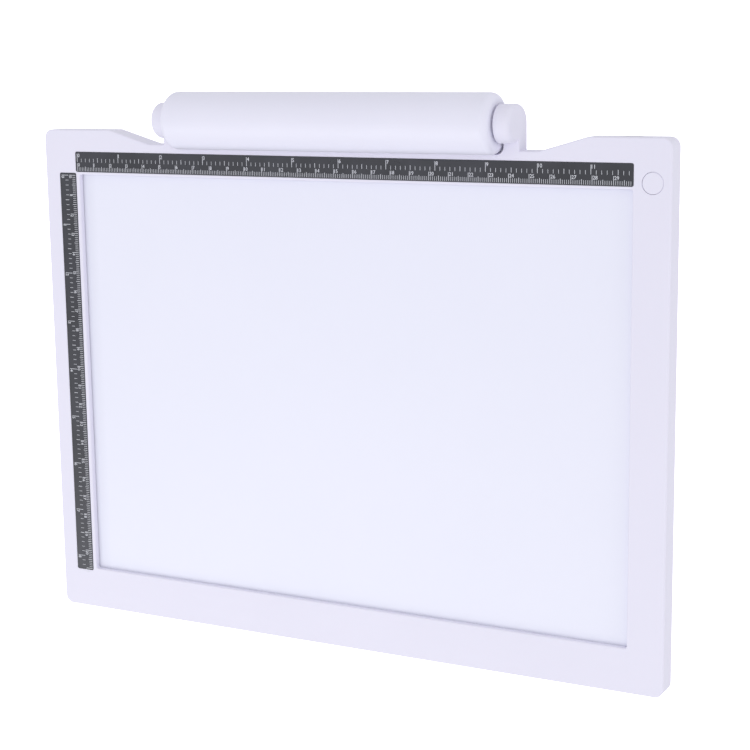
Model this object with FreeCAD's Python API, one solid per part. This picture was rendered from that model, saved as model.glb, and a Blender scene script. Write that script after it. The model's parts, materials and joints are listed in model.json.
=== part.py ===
"""Tracing light box: a slim A4 light pad with a battery barrel that carries its stand.

The pad lies flat on its feet, screen up. +X runs along the pad's width, +Y runs from the
user's edge to the barrel and +Z is up. The origin is below the middle of the whole object,
at the level of the feet. Lengths are in millimetres.
"""
import FreeCAD, Part
import math
import os

V = FreeCAD.Vector

# ---------------------------------------------------------------- driving sizes
# pad outline, seen from above
PAD_WIDTH = 337.0
PAD_DEPTH = 254.4
PAD_CORNER_RADIUS = 4.5
PAD_EDGE_RADIUS = 0.8
FOOT_HEIGHT = 0.8

# notch in the back edge, where the barrel lies
NOTCH_DROP = 6.8
NOTCH_SIDE_ROOM = 9.3
NOTCH_SLOPE_RUN = 23.6
NOTCH_CORNER_RADIUS = 3.0

# borders of the bezel round the screen window
BORDER_LEFT = 21.2
BORDER_RIGHT = 17.8
BORDER_FRONT = 21.6
BORDER_BACK = 22.8
WINDOW_CORNER_RADIUS = 1.0
WINDOW_EDGE_RADIUS = 0.7

# walls of the housing
SIDE_WALL = 2.0
FACE_WALL = 2.8
COVER_WALL = 1.8
COVER_GAP = 0.2
FIT_GAP = 0.15

# optical stack, from the window down
GASKET_THICKNESS = 0.3
DIFFUSER_THICKNESS = 1.8
GUIDE_THICKNESS = 2.3
REFLECTOR_THICKNESS = 0.2
STACK_LIP = 3.0
GASKET_WIDTH = 2.4
STACK_CORNER_RADIUS = 1.0

# rulers let into the bezel
RULER_WIDTH = 10.1
RULER_THICKNESS = 0.9
RULER_PROUD = 0.15
TOP_RULER_LEFT = 19.3
TOP_RULER_RIGHT = 17.5
TOP_RULER_INSET = 11.3
SIDE_RULER_LEFT = 9.0
SIDE_RULER_FRONT = 20.3
RULER_TO_RULER = 0.8
RULER_CORNER_RADIUS = 0.8

# power button
BUTTON_RADIUS = 4.9
BUTTON_GAP = 0.1
BUTTON_FROM_RIGHT = 8.7
BUTTON_FROM_BACK = 19.8
BUTTON_FLANGE = 1.0
BUTTON_FLANGE_THICKNESS = 0.9
BUTTON_STEM = 0.25
BUTTON_TRAVEL = 0.6
BUTTON_UNDER_FLUSH = 0.1
BUTTON_EDGE_RADIUS = 0.4

# control board
BOARD_THICKNESS = 1.2
BOARD_ARM_WIDTH = 11.8
BOARD_ARM_LENGTH = 78.0
BOARD_BEYOND_INLET = 7.4
BOARD_TOP_WIDTH = 15.0
SWITCH_SIDE = 6.0
SWITCH_HEIGHT = 1.8
PLUNGER_RADIUS = 1.5
PLUNGER_RISE = 0.9
PLUNGER_GAP = 0.3
COIL_RADIUS = 2.6
COIL_HEIGHT = 2.4
COIL_PLACE = 34.0
# the lead socket, the driver, the capacitors and the resistors along the board's arm:
# how many, pitch across, width, start and end from the arm's end, height
BOARD_PARTS = [
    (1, 0.0, 6.0, 1.0, 6.0, 3.0), (1, 0.0, 5.0, 20.0, 26.0, 1.4),
    (4, 2.8, 1.5, 42.0, 44.5, 1.0), (4, 2.4, 1.0, 12.0, 14.0, 0.5),
]

# power inlet in the back edge of the right ear
INLET_WIDTH = 9.0
INLET_HEIGHT = 3.2
INLET_LENGTH = 7.0
INLET_SHELL = 0.35
INLET_SINK = 0.4
INLET_TONGUE_WIDTH = 6.6
INLET_TONGUE_THICKNESS = 0.7

# light strip along the front edge of the light guide
LED_PITCH = 8.0
LED_WIDTH = 3.0
LED_HEIGHT = 2.2
LED_DEPTH = 1.2
LED_AIR_GAP = 0.5
STRIP_THICKNESS = 1.0
STRIP_HEIGHT = 4.8
STRIP_OVERHANG = 3.0

# battery barrel and its hinge
BARREL_RADIUS = 14.1
BARREL_WALL = 1.8
BARREL_IN_NOTCH = 1.95
BARREL_OFF_CENTRE = 1.2
BARREL_RIM_RADIUS = 3.6
CAP_LENGTH = 8.0
CAP_SPIGOT = 1.7
CAP_FLOOR = 1.5
SADDLE_GAP = 0.5
LUG_GAP = 1.2
LUG_WIDTH = 7.5
BOSS_RADIUS = 8.8
BOSS_EDGE_RADIUS = 2.8
PIN_RADIUS = 3.0
PIN_CLEARANCE = 0.06
PIN_IN_CAP = 5.0
PIN_IN_LUG = 6.0
PIN_END_GAP = 0.4
LEAD_BORE_RADIUS = 1.3
WASHER_RADIUS = 5.6
WASHER_THICKNESS = 0.9

# stand leaf, folded flat under the pad
LEAF_THICKNESS = 2.4
LEAF_ROOT = 0.7
LEAF_INSET = 0.1
LEAF_ROOT_INSET = 5.0
LEAF_TAPER = 16.0
LEAF_REACH = 142.0
LEAF_CORNER_RADIUS = 9.0
LEAF_SIDE_GAP = 0.6
LEAF_TOP_GAP = 0.3
LEAF_FOOT_WIDTH = 6.0
LEAF_FOOT_PROUD = 0.4
LEAF_FOOT_DEPTH = 0.7
POCKET_WALL = 1.6
POCKET_ROOF = 1.2
SCOOP_RADIUS = 12.0

# battery door
DOOR_CELL_ROOM = 0.6
DOOR_END_ROOM = 0.3
DOOR_TO_LEAF = 6.0
DOOR_GAP = 0.3
DOOR_THICKNESS = 1.4
DOOR_RIDGES = 5
DOOR_RIDGE_PITCH = 2.2
DOOR_RIDGE_SIZE = 0.8
DOOR_RIDGE_WIDTH = 8.0

# cells and contacts
CELL_RADIUS = 7.2
CELL_LENGTH = 50.5
CELL_COUNT = 3
CELL_NUB_RADIUS = 2.7
CELL_NUB_LENGTH = 1.0
CELL_EDGE_RADIUS = 0.5
CONTACT_THICKNESS = 0.5
CONTACT_INSET = 0.2
SPRING_LENGTH = 5.3
SPRING_WIRE_RADIUS = 0.35
SPRING_COIL_RADIUS = 3.6
SPRING_TURNS = 4
SPRING_STEPS = 16
TRAY_CLEARANCE = 0.3
TRAY_RIB = 2.0
TRAY_RIBS = 7
TRAY_SPINE = 1.5
TRAY_SPINE_WIDTH = 12.0
TRAY_GAP = 0.05
TRAY_END_ROOM = 1.0

# fasteners, feet and leads
SCREW_RADIUS = 1.1
SCREW_HEAD_RADIUS = 2.1
SCREW_HEAD_HEIGHT = 1.2
SCREW_SINK = 0.1
SCREW_ENGAGEMENT = 4.2
SCREW_GAP = 0.2
SCREW_SLOT_WIDTH = 0.5
SCREW_END_GAP = 0.3
POST_RADIUS = 3.0
PAD_RADIUS = 3.6
PAD_RISE = 3.2
POST_ROOM = 3.6
FOOT_RADIUS = 5.0
FOOT_RECESS = 0.6
FOOT_INSET = 24.0
RIB_THICKNESS = 1.2
RIB_PITCH = 40.0
LEAD_RADIUS = 0.6
LEAD_BEND = 5.0
LEAD_TIGHT_BEND = 2.0
LEAD_GAP = 1.0
LEAD_END_GAP = 0.2
LEAD_PAIR_PITCH = 2.6

# how far a cut runs past the face it opens, and how deep a joined piece sits in its carrier
OVERRUN = 1.0
OVERLAP = 0.5

# ---------------------------------------------------------------- worked-out places
# the barrel is as long as the row of cells with its contacts and caps
cells_length = CELL_COUNT * CELL_LENGTH + SPRING_LENGTH + 2.0 * CONTACT_THICKNESS
barrel_length = cells_length + CAP_LENGTH + CAP_SPIGOT + PIN_IN_CAP + CAP_FLOOR
barrel_half = barrel_length / 2.0
shell_half = barrel_half - CAP_LENGTH
barrel_bore = BARREL_RADIUS - BARREL_WALL
lug_inner = barrel_half + LUG_GAP
lug_outer = lug_inner + LUG_WIDTH
notch_floor_half = lug_outer + NOTCH_SIDE_ROOM
notch_mouth_half = notch_floor_half + NOTCH_SLOPE_RUN
contact_radius = CELL_RADIUS - CONTACT_INSET
positive_end = shell_half - CAP_SPIGOT
negative_end = positive_end - cells_length

barrel_axis_y = PAD_DEPTH - NOTCH_DROP - BARREL_IN_NOTCH + BARREL_RADIUS
overall_depth = barrel_axis_y + BARREL_RADIUS
# the shapes are laid out from the barrel's middle, and moved to the pad's middle at the end
left = -PAD_WIDTH / 2.0 - BARREL_OFF_CENTRE
right = PAD_WIDTH / 2.0 - BARREL_OFF_CENTRE
front = -overall_depth / 2.0
back = front + PAD_DEPTH
notch_floor = back - NOTCH_DROP
axis_y = front + barrel_axis_y

# levels, from the table up
under = FOOT_HEIGHT
cover_inside = under + COVER_WALL
leaf_under = under + LEAF_INSET
leaf_top = leaf_under + LEAF_THICKNESS
pocket_top = leaf_top + LEAF_TOP_GAP
stack_under = pocket_top + POCKET_ROOF
guide_under = stack_under + REFLECTOR_THICKNESS
guide_top = guide_under + GUIDE_THICKNESS
diffuser_top = guide_top + DIFFUSER_THICKNESS
face_under = diffuser_top + GASKET_THICKNESS
face = face_under + FACE_WALL
axis_z = leaf_under + LEAF_ROOT + BARREL_RADIUS
post_under = under + PAD_RISE
flange_top = face_under - FIT_GAP
flange_under = flange_top - BUTTON_FLANGE_THICKNESS
plunger_top = flange_under - BUTTON_STEM
switch_top = plunger_top - PLUNGER_RISE
board_top = switch_top - SWITCH_HEIGHT
board_under = board_top - BOARD_THICKNESS

window_left = left + BORDER_LEFT
window_right = right - BORDER_RIGHT
window_front = front + BORDER_FRONT
window_back = back - BORDER_BACK
stack_left = window_left - STACK_LIP
stack_right = window_right + STACK_LIP
stack_front = window_front - STACK_LIP
stack_back = window_back + STACK_LIP
strip_back = stack_front - LED_AIR_GAP - LED_DEPTH
strip_front = strip_back - STRIP_THICKNESS

leaf_root_half = shell_half - LEAF_ROOT_INSET
leaf_tip_half = leaf_root_half - LEAF_TAPER
leaf_tip_y = axis_y - LEAF_REACH
door_width = 2.0 * (CELL_RADIUS + DOOR_CELL_ROOM)
door_length = 2.0 * (positive_end - DOOR_END_ROOM)
door_angle = 180.0 - DOOR_TO_LEAF - math.degrees(math.asin(door_width / 2.0 / BARREL_RADIUS))

button_x = right - BUTTON_FROM_RIGHT
button_y = back - BUTTON_FROM_BACK
inlet_x = (notch_mouth_half + right) / 2.0
inlet_z = board_top + INLET_HEIGHT / 2.0
board_end_x = inlet_x - INLET_WIDTH / 2.0 - BOARD_BEYOND_INLET
channel_x = lug_inner + PIN_IN_LUG - LEAD_BORE_RADIUS

# screw posts stand midway between the stack and the walls
post_x = channel_x + LEAD_BORE_RADIUS + POST_RADIUS + POST_ROOM
post_x_left = (left + SIDE_WALL + stack_left) / 2.0
post_x_right = (stack_right + right - SIDE_WALL) / 2.0
post_y_front = (front + SIDE_WALL + strip_front) / 2.0
post_y_middle = (front + back) / 2.0
post_y_back = (stack_back + notch_floor - SIDE_WALL) / 2.0
post_places = [
    (post_x_left, post_y_front), (-post_x / 2.0, post_y_front),
    (post_x / 2.0, post_y_front), (post_x_right, post_y_front),
    (post_x_left, post_y_middle), (post_x_right, post_y_middle),
    (post_x_left, post_y_back), (-post_x, post_y_back), (post_x, post_y_back),
]


# ---------------------------------------------------------------- solids
def box(x0, x1, y0, y1, z0, z1):
    return Part.makeBox(x1 - x0, y1 - y0, z1 - z0, V(x0, y0, z0))


def rod_x(radius, x0, x1, y=axis_y, z=axis_z):
    """A cylinder along X, on the barrel's axis unless another place is given."""
    return Part.makeCylinder(radius, x1 - x0, V(x0, y, z), V(1, 0, 0))


def rod_z(radius, x, y, z0, z1):
    return Part.makeCylinder(radius, z1 - z0, V(x, y, z0), V(0, 0, 1))


def prism(points, z0, z1):
    wire = Part.makePolygon([V(x, y, z0) for x, y in points + points[:1]])
    return Part.Face(wire).extrude(V(0, 0, z1 - z0))


def upright_edges(solid, x, y, reach=0.01):
    """The edges along Z that stand at the place x, y."""
    found = []
    for edge in solid.Edges:
        ends = [vertex.Point for vertex in edge.Vertexes]
        if len(ends) == 2 and all(math.hypot(p.x - x, p.y - y) < reach for p in ends):
            found.append(edge)
    return found


def round_uprights(solid, places, radius):
    edges = []
    for x, y in places:
        edges += upright_edges(solid, x, y)
    return solid.makeFillet(radius, edges)


def edges_at_height(solid, z):
    return [edge for edge in solid.Edges
            if abs(edge.BoundBox.ZMin - z) < 0.01 and abs(edge.BoundBox.ZMax - z) < 0.01]


def rounded_plate(x0, x1, y0, y1, z0, z1, radius):
    plate = box(x0, x1, y0, y1, z0, z1)
    corners = [(x0, y0), (x1, y0), (x1, y1), (x0, y1)]
    return round_uprights(plate, corners, radius)


def pad_block(inset, z0, z1):
    """The pad's outline, moved inwards by inset, from z0 to z1."""
    slope = math.atan2(NOTCH_DROP, NOTCH_SLOPE_RUN)
    shift = inset * math.tan(slope / 2.0)
    mouth = notch_mouth_half + shift
    floor = notch_floor_half + shift
    x0 = left + inset
    x1 = right - inset
    y0 = front + inset
    y1 = back - inset
    y2 = notch_floor - inset
    outline = [(x0, y0), (x1, y0), (x1, y1), (mouth, y1),
               (floor, y2), (-floor, y2), (-mouth, y1), (x0, y1)]
    block = prism(outline, z0, z1)
    corners = [outline[0], outline[1], outline[2], outline[7]]
    block = round_uprights(block, corners, max(PAD_CORNER_RADIUS - inset, 0.5))
    return round_uprights(block, outline[3:7], NOTCH_CORNER_RADIUS)


def fuse(solids):
    body = solids[0]
    if len(solids) > 1:
        body = body.fuse(solids[1:])
    return body.removeSplitter()


# ---------------------------------------------------------------- housing
def lug(side):
    """One hinge lug: as deep as the pad, round over the barrel's axis and round behind."""
    inner = lug_inner if side > 0 else -lug_outer
    outer_x = inner + LUG_WIDTH if side > 0 else inner
    front_y = axis_y - BOSS_RADIUS
    back_y = axis_y + BOSS_RADIUS
    heel_z = under + BOSS_RADIUS
    over = Part.Arc(V(inner, back_y, axis_z), V(inner, axis_y, axis_z + BOSS_RADIUS),
                    V(inner, front_y, axis_z))
    heel = Part.Arc(V(inner, front_y, heel_z), V(inner, axis_y, under),
                    V(inner, back_y, heel_z))
    outline = [over.toShape(),
               Part.makeLine(V(inner, front_y, axis_z), V(inner, front_y, heel_z)),
               heel.toShape(),
               Part.makeLine(V(inner, back_y, heel_z), V(inner, back_y, axis_z))]
    boss = Part.Face(Part.Wire(outline)).extrude(V(LUG_WIDTH, 0, 0))
    outer_rim = [e for e in boss.Edges
                 if abs(e.BoundBox.XMin - outer_x) < 0.01 and abs(e.BoundBox.XMax - outer_x) < 0.01]
    boss = boss.makeFillet(BOSS_EDGE_RADIUS, outer_rim)
    foot_y = notch_floor - SIDE_WALL / 2.0
    post = box(inner, inner + LUG_WIDTH, foot_y, axis_y, under, face)
    heel_edge = [e for e in post.Edges
                 if abs(e.BoundBox.XMin - outer_x) < 0.01 and abs(e.BoundBox.XMax - outer_x) < 0.01
                 and abs(e.BoundBox.ZMax - under) < 0.01]
    post = post.makeFillet(BOSS_EDGE_RADIUS, heel_edge)
    # the gusset reaches in under the barrel's rounded end, and the saddle cuts it to shape
    gusset_x = inner - BARREL_RIM_RADIUS if side > 0 else inner + LUG_WIDTH
    gusset = box(gusset_x, gusset_x + BARREL_RIM_RADIUS, foot_y, front_y, under, face)
    shape = boss.fuse([post, gusset])
    bore_start = lug_inner if side > 0 else -lug_inner - PIN_IN_LUG - LUG_GAP
    bore = rod_x(PIN_RADIUS + PIN_CLEARANCE, bore_start, bore_start + PIN_IN_LUG + LUG_GAP)
    return shape.cut(bore)


def channel_ends():
    """Where the battery leads enter the right lug's channel, and where they leave it."""
    return (V(channel_x, axis_y - PIN_RADIUS, axis_z - PIN_RADIUS),
            V(channel_x, post_y_back + POST_RADIUS, (board_under + board_top) / 2.0))


def lead_channel():
    """The slanting hole that takes the battery leads from the right lug into the pad."""
    start, end = channel_ends()
    run = end.sub(start)
    return Part.makeCylinder(LEAD_BORE_RADIUS, run.Length, start, run)


def inlet_block(grow, length, y1):
    """A flat-sided bar with round ends: the power inlet's section, grown by grow."""
    half_w = INLET_WIDTH / 2.0 + grow
    half_h = INLET_HEIGHT / 2.0 + grow
    bar = box(inlet_x - half_w, inlet_x + half_w, y1 - length, y1,
              inlet_z - half_h, inlet_z + half_h)
    along = [e for e in bar.Edges if abs(e.BoundBox.YLength - length) < 0.01]
    return bar.makeFillet(half_h * 0.98, along)


def make_front_bezel():
    shell = pad_block(0.0, under, face)
    shell = shell.makeFillet(PAD_EDGE_RADIUS, edges_at_height(shell, face))
    cavity = pad_block(SIDE_WALL, under - OVERRUN, face_under)
    saddle_wall = rod_x(BARREL_RADIUS + SADDLE_GAP + SIDE_WALL, -lug_outer, lug_outer)
    shell = shell.cut(cavity.cut(saddle_wall))
    shell = fuse([shell, lug(-1), lug(1)])
    saddle = rod_x(BARREL_RADIUS + SADDLE_GAP, -lug_inner, lug_inner)
    rims = [edge for x in (-lug_inner, lug_inner)
            for edge in rim_edges(saddle, x, BARREL_RADIUS + SADDLE_GAP)]
    shell = shell.cut(saddle.makeFillet(BARREL_RIM_RADIUS, rims))

    window = rounded_plate(window_left, window_right, window_front, window_back,
                           face_under - OVERRUN, face + OVERRUN, WINDOW_CORNER_RADIUS)
    shell = shell.cut(window)
    rim = [e for e in edges_at_height(shell, face)
           if e.BoundBox.XMin > window_left - 0.01 and e.BoundBox.XMax < window_right + 0.01
           and e.BoundBox.YMin > window_front - 0.01 and e.BoundBox.YMax < window_back + 0.01]
    shell = shell.makeFillet(WINDOW_EDGE_RADIUS, rim)

    cuts = [ruler_block(place, FIT_GAP, face - RULER_THICKNESS + RULER_PROUD, face + OVERRUN)
            for place in ("top", "side")]
    cuts.append(rod_z(BUTTON_RADIUS + BUTTON_GAP, button_x, button_y,
                      face_under - OVERRUN, face + OVERRUN))
    cuts.append(inlet_block(FIT_GAP, SIDE_WALL + 2.0 * OVERRUN, back + OVERRUN))
    cuts.append(lead_channel())
    leaf_slot = leaf_root_half + LEAF_SIDE_GAP
    cuts.append(box(-leaf_slot, leaf_slot, notch_floor - 3.0 * SIDE_WALL, notch_floor + OVERRUN,
                    under - OVERRUN, pocket_top))
    posts = [rod_z(POST_RADIUS, x, y, post_under, face_under + OVERLAP) for x, y in post_places]
    shell = fuse([shell] + posts)
    cuts += [rod_z(SCREW_RADIUS, x, y, post_under - OVERRUN, post_under + SCREW_ENGAGEMENT)
             for x, y in post_places]
    return shell.cut(cuts)


def leaf_outline(grow):
    """The stand leaf seen from above, made larger by grow on its sides and tip."""
    tip = leaf_tip_y - grow
    tip_half = leaf_tip_half + grow
    root_half = leaf_root_half + grow
    return [(-tip_half, tip), (tip_half, tip), (root_half, notch_floor), (root_half, axis_y),
            (-root_half, axis_y), (-root_half, notch_floor)]


def leaf_block(grow, z0, z1):
    outline = leaf_outline(grow)
    block = prism(outline, z0, z1)
    return round_uprights(block, outline[:2], LEAF_CORNER_RADIUS + grow)


def foot_places():
    x0 = left + FOOT_INSET
    x1 = right - FOOT_INSET
    y0 = front + FOOT_INSET
    y1 = back - FOOT_INSET
    return [(x0, y0), (x1, y0), (x1, y1), (x0, y1)]


def make_rear_cover():
    inset = SIDE_WALL + COVER_GAP
    plate = pad_block(inset, under, cover_inside)
    edge = notch_floor - inset
    pocket_cap = leaf_block(LEAF_SIDE_GAP + POCKET_WALL, cover_inside - OVERLAP, stack_under)
    within_pad = box(left, right, front, stack_back, under, stack_under)
    back_step = box(left, right, stack_back, edge, under, pocket_top + POCKET_WALL)
    cap = pocket_cap.common(within_pad.fuse(back_step))
    raised = [plate, cap]
    raised += [rod_z(PAD_RADIUS, x, y, cover_inside - OVERLAP, post_under) for x, y in post_places]
    raised += support_ribs()
    cover = fuse(raised)

    cuts = [leaf_block(LEAF_SIDE_GAP, under - OVERRUN, pocket_top)]
    cuts.append(rod_z(SCOOP_RADIUS, 0.0, leaf_tip_y, under - OVERRUN, under + COVER_WALL / 2.0))
    for x, y in post_places:
        cuts.append(rod_z(SCREW_RADIUS + SCREW_GAP, x, y, under - OVERRUN, post_under + OVERRUN))
        cuts.append(rod_z(SCREW_HEAD_RADIUS + SCREW_GAP, x, y, under - OVERRUN,
                          under + SCREW_SINK + SCREW_HEAD_HEIGHT))
    for x, y in foot_places():
        cuts.append(rod_z(FOOT_RADIUS, x, y, under - OVERRUN, under + FOOT_RECESS))
    return cover.cut(cuts)


def support_ribs():
    """Ribs across the cover that carry the optical stack, and two that hold the light strip."""
    ribs = []
    low = cover_inside - OVERLAP
    leaf_edge = leaf_tip_y - LEAF_SIDE_GAP - POCKET_WALL
    count = int((stack_right - stack_left) / RIB_PITCH)
    pitch = (stack_right - stack_left) / count
    for k in range(count + 1):
        x = stack_left + pitch * k
        x = min(max(x, stack_left + RIB_THICKNESS), stack_right - RIB_THICKNESS)
        beyond_leaf = abs(x) > leaf_root_half + LEAF_SIDE_GAP + POCKET_WALL
        y1 = stack_back if beyond_leaf else leaf_edge
        ribs.append(box(x - RIB_THICKNESS / 2.0, x + RIB_THICKNESS / 2.0, stack_front, y1,
                        low, stack_under))
    for k in (1, 2):
        y = stack_front + (leaf_edge - stack_front) * k / 3.0
        ribs.append(box(stack_left + RIB_THICKNESS, stack_right - RIB_THICKNESS,
                        y - RIB_THICKNESS / 2.0, y + RIB_THICKNESS / 2.0, low, stack_under))
    strip_rib = strip_front - FIT_GAP
    ribs.append(box(window_left, window_right, strip_rib - RIB_THICKNESS, strip_rib,
                    low, guide_under))
    return ribs


def make_rubber_feet():
    return [rod_z(FOOT_RADIUS, x, y, 0.0, under + FOOT_RECESS) for x, y in foot_places()]


def make_cover_screws():
    screws = []
    for x, y in post_places:
        head_low = under + SCREW_SINK
        head_high = head_low + SCREW_HEAD_HEIGHT
        head = rod_z(SCREW_HEAD_RADIUS, x, y, head_low, head_high)
        shank = rod_z(SCREW_RADIUS, x, y, head_high, post_under + SCREW_ENGAGEMENT - SCREW_END_GAP)
        reach = SCREW_HEAD_RADIUS * 0.6
        half = SCREW_SLOT_WIDTH / 2.0
        depth = head_low + SCREW_HEAD_HEIGHT / 2.0
        cross = [box(x - reach, x + reach, y - half, y + half, head_low - OVERRUN, depth),
                 box(x - half, x + half, y - reach, y + reach, head_low - OVERRUN, depth)]
        screws.append(head.fuse(shank).cut(cross).removeSplitter())
    return screws


# ---------------------------------------------------------------- optical stack and rulers
def stack_plate(z0, z1):
    return rounded_plate(stack_left, stack_right, stack_front, stack_back, z0, z1,
                         STACK_CORNER_RADIUS)


def make_screen_gasket():
    outer = stack_plate(diffuser_top, face_under)
    inner = rounded_plate(stack_left + GASKET_WIDTH, stack_right - GASKET_WIDTH,
                          stack_front + GASKET_WIDTH, stack_back - GASKET_WIDTH,
                          diffuser_top - OVERRUN, face_under + OVERRUN, STACK_CORNER_RADIUS)
    return outer.cut(inner)


def ruler_block(place, grow, z0, z1):
    """One ruler strip, grown by grow all round, from z0 to z1."""
    if place == "top":
        x0 = left + TOP_RULER_LEFT
        x1 = right - TOP_RULER_RIGHT
        y1 = back - TOP_RULER_INSET
        y0 = y1 - RULER_WIDTH
    else:
        x0 = left + SIDE_RULER_LEFT
        x1 = x0 + RULER_WIDTH
        y0 = front + SIDE_RULER_FRONT
        y1 = back - TOP_RULER_INSET - RULER_WIDTH - RULER_TO_RULER
    return rounded_plate(x0 - grow, x1 + grow, y0 - grow, y1 + grow, z0, z1,
                         RULER_CORNER_RADIUS + grow)


def make_ruler(place):
    low = face - RULER_THICKNESS + RULER_PROUD
    strip = ruler_block(place, 0.0, low, face + RULER_PROUD)
    return strip.makeFillet(RULER_PROUD * 0.8, edges_at_height(strip, face + RULER_PROUD))


def led_places():
    count = int((window_right - window_left - 2.0 * STRIP_OVERHANG) / LED_PITCH)
    first = (window_left + window_right - LED_PITCH * (count - 1)) / 2.0
    return [first + LED_PITCH * k for k in range(count)]


def make_led_strip():
    places = led_places()
    z = (guide_top + guide_under) / 2.0
    return box(places[0] - STRIP_OVERHANG - LED_WIDTH / 2.0,
               places[-1] + STRIP_OVERHANG + LED_WIDTH / 2.0,
               strip_front, strip_back, z - STRIP_HEIGHT / 2.0, z + STRIP_HEIGHT / 2.0)


def make_leds():
    z = (guide_top + guide_under) / 2.0
    return [box(x - LED_WIDTH / 2.0, x + LED_WIDTH / 2.0, strip_back, strip_back + LED_DEPTH,
                z - LED_HEIGHT / 2.0, z + LED_HEIGHT / 2.0) for x in led_places()]


# ---------------------------------------------------------------- controls
def board_edges():
    x1 = right - SIDE_WALL - FIT_GAP
    y1 = back - SIDE_WALL - FIT_GAP
    return x1, y1


def make_control_board():
    x1, y1 = board_edges()
    x0 = x1 - BOARD_ARM_WIDTH
    arm = box(x0, x1, y1 - BOARD_ARM_LENGTH, y1, board_under, board_top)
    top = box(board_end_x, x1, y1 - BOARD_TOP_WIDTH, y1, board_under, board_top)
    inside_walls = pad_block(SIDE_WALL + FIT_GAP, board_under, board_top)
    return fuse([arm, top]).common(inside_walls)


def make_board_components():
    x1, y1 = board_edges()
    x = x1 - BOARD_ARM_WIDTH / 2.0
    arm_end = y1 - BOARD_ARM_LENGTH
    pieces = [rod_z(COIL_RADIUS, x, arm_end + COIL_PLACE, board_top, board_top + COIL_HEIGHT)]
    for count, pitch, width, start, end, height in BOARD_PARTS:
        for k in range(count):
            middle = x + pitch * (k - (count - 1) / 2.0)
            pieces.append(box(middle - width / 2.0, middle + width / 2.0, arm_end + start,
                              arm_end + end, board_top, board_top + height))
    return pieces


def make_tact_switch():
    half = SWITCH_SIDE / 2.0
    body = box(button_x - half, button_x + half, button_y - half, button_y + half,
               board_top, switch_top)
    well = rod_z(PLUNGER_RADIUS + PLUNGER_GAP, button_x, button_y,
                 switch_top - BUTTON_TRAVEL * 2.0, switch_top + OVERRUN)
    return body.cut(well)


def make_switch_plunger():
    return rod_z(PLUNGER_RADIUS, button_x, button_y, switch_top - BUTTON_TRAVEL * 0.4, plunger_top)


def make_power_button():
    top = face - BUTTON_UNDER_FLUSH
    cap = rod_z(BUTTON_RADIUS, button_x, button_y, flange_under, top)
    cap = cap.makeFillet(BUTTON_EDGE_RADIUS, edges_at_height(cap, top))
    flange = rod_z(BUTTON_RADIUS + BUTTON_FLANGE, button_x, button_y, flange_under, flange_top)
    stem = rod_z(PLUNGER_RADIUS, button_x, button_y, plunger_top, flange_under)
    return fuse([cap, flange, stem])


def make_power_inlet():
    mouth = back - INLET_SINK
    shell = inlet_block(0.0, INLET_LENGTH, mouth)
    hollow = inlet_block(-INLET_SHELL, INLET_LENGTH, mouth + 2.0 * INLET_SHELL)
    half_w = INLET_TONGUE_WIDTH / 2.0
    half_h = INLET_TONGUE_THICKNESS / 2.0
    tongue = box(inlet_x - half_w, inlet_x + half_w, mouth - INLET_LENGTH + INLET_SHELL,
                 mouth - 2.0 * INLET_SHELL, inlet_z - half_h, inlet_z + half_h)
    return fuse([shell.cut(hollow), tongue])


# ---------------------------------------------------------------- barrel and stand
def door_slab(half_width, half_length):
    """A slab from the barrel's axis out through the door, as wide as the door."""
    slab = Part.makeBox(2.0 * half_length, 2.0 * half_width, 2.0 * BARREL_RADIUS,
                        V(-half_length, -half_width, 0))
    slab.rotate(V(0, 0, 0), V(1, 0, 0), -door_angle)
    slab.translate(V(0, axis_y, axis_z))
    return slab


def make_barrel_shell():
    tube = rod_x(BARREL_RADIUS, -shell_half, shell_half)
    tube = tube.cut(rod_x(barrel_bore, -shell_half - OVERRUN, shell_half + OVERRUN))
    return tube.cut(door_slab(door_width / 2.0, door_length / 2.0))


def rim_edges(solid, x, radius):
    """The round edges of a turned piece that lie in the plane at x."""
    return [e for e in solid.Edges
            if abs(e.BoundBox.XMin - x) < 0.01 and abs(e.BoundBox.XMax - x) < 0.01
            and abs(e.BoundBox.YLength - 2.0 * radius) < 0.1]


def make_barrel_cap(side):
    """An end cap with a spigot in the tube, made at the right end and turned for the left."""
    cap = rod_x(BARREL_RADIUS, shell_half, barrel_half)
    cap = cap.makeFillet(BARREL_RIM_RADIUS, rim_edges(cap, barrel_half, BARREL_RADIUS))
    spigot = rod_x(barrel_bore - TRAY_GAP, positive_end, shell_half)
    cap = fuse([cap, spigot])
    cuts = [rod_x(PIN_RADIUS, barrel_half - PIN_IN_CAP, barrel_half + OVERRUN)]
    lead_y, lead_z = lead_offset()
    cuts.append(rod_x(LEAD_RADIUS + LEAD_GAP / 2.0, positive_end - OVERRUN, shell_half + 2.0 * OVERRUN,
                      lead_y, lead_z))
    if side > 0:
        # the positive contact lies on the spigot, and the leads go through to the hollow pin
        cuts.append(rod_x(LEAD_BORE_RADIUS, positive_end - OVERRUN, barrel_half))
    else:
        # the negative contact lies on the floor of a pocket
        cuts.append(rod_x(contact_radius + FIT_GAP, positive_end - OVERRUN, -negative_end))
    cap = cap.cut(cuts)
    return cap if side > 0 else cap.mirror(V(0, 0, 0), V(1, 0, 0))


def make_contact_plates():
    return [rod_x(contact_radius, positive_end - CONTACT_THICKNESS, positive_end),
            rod_x(contact_radius, negative_end, negative_end + CONTACT_THICKNESS)]


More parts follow.
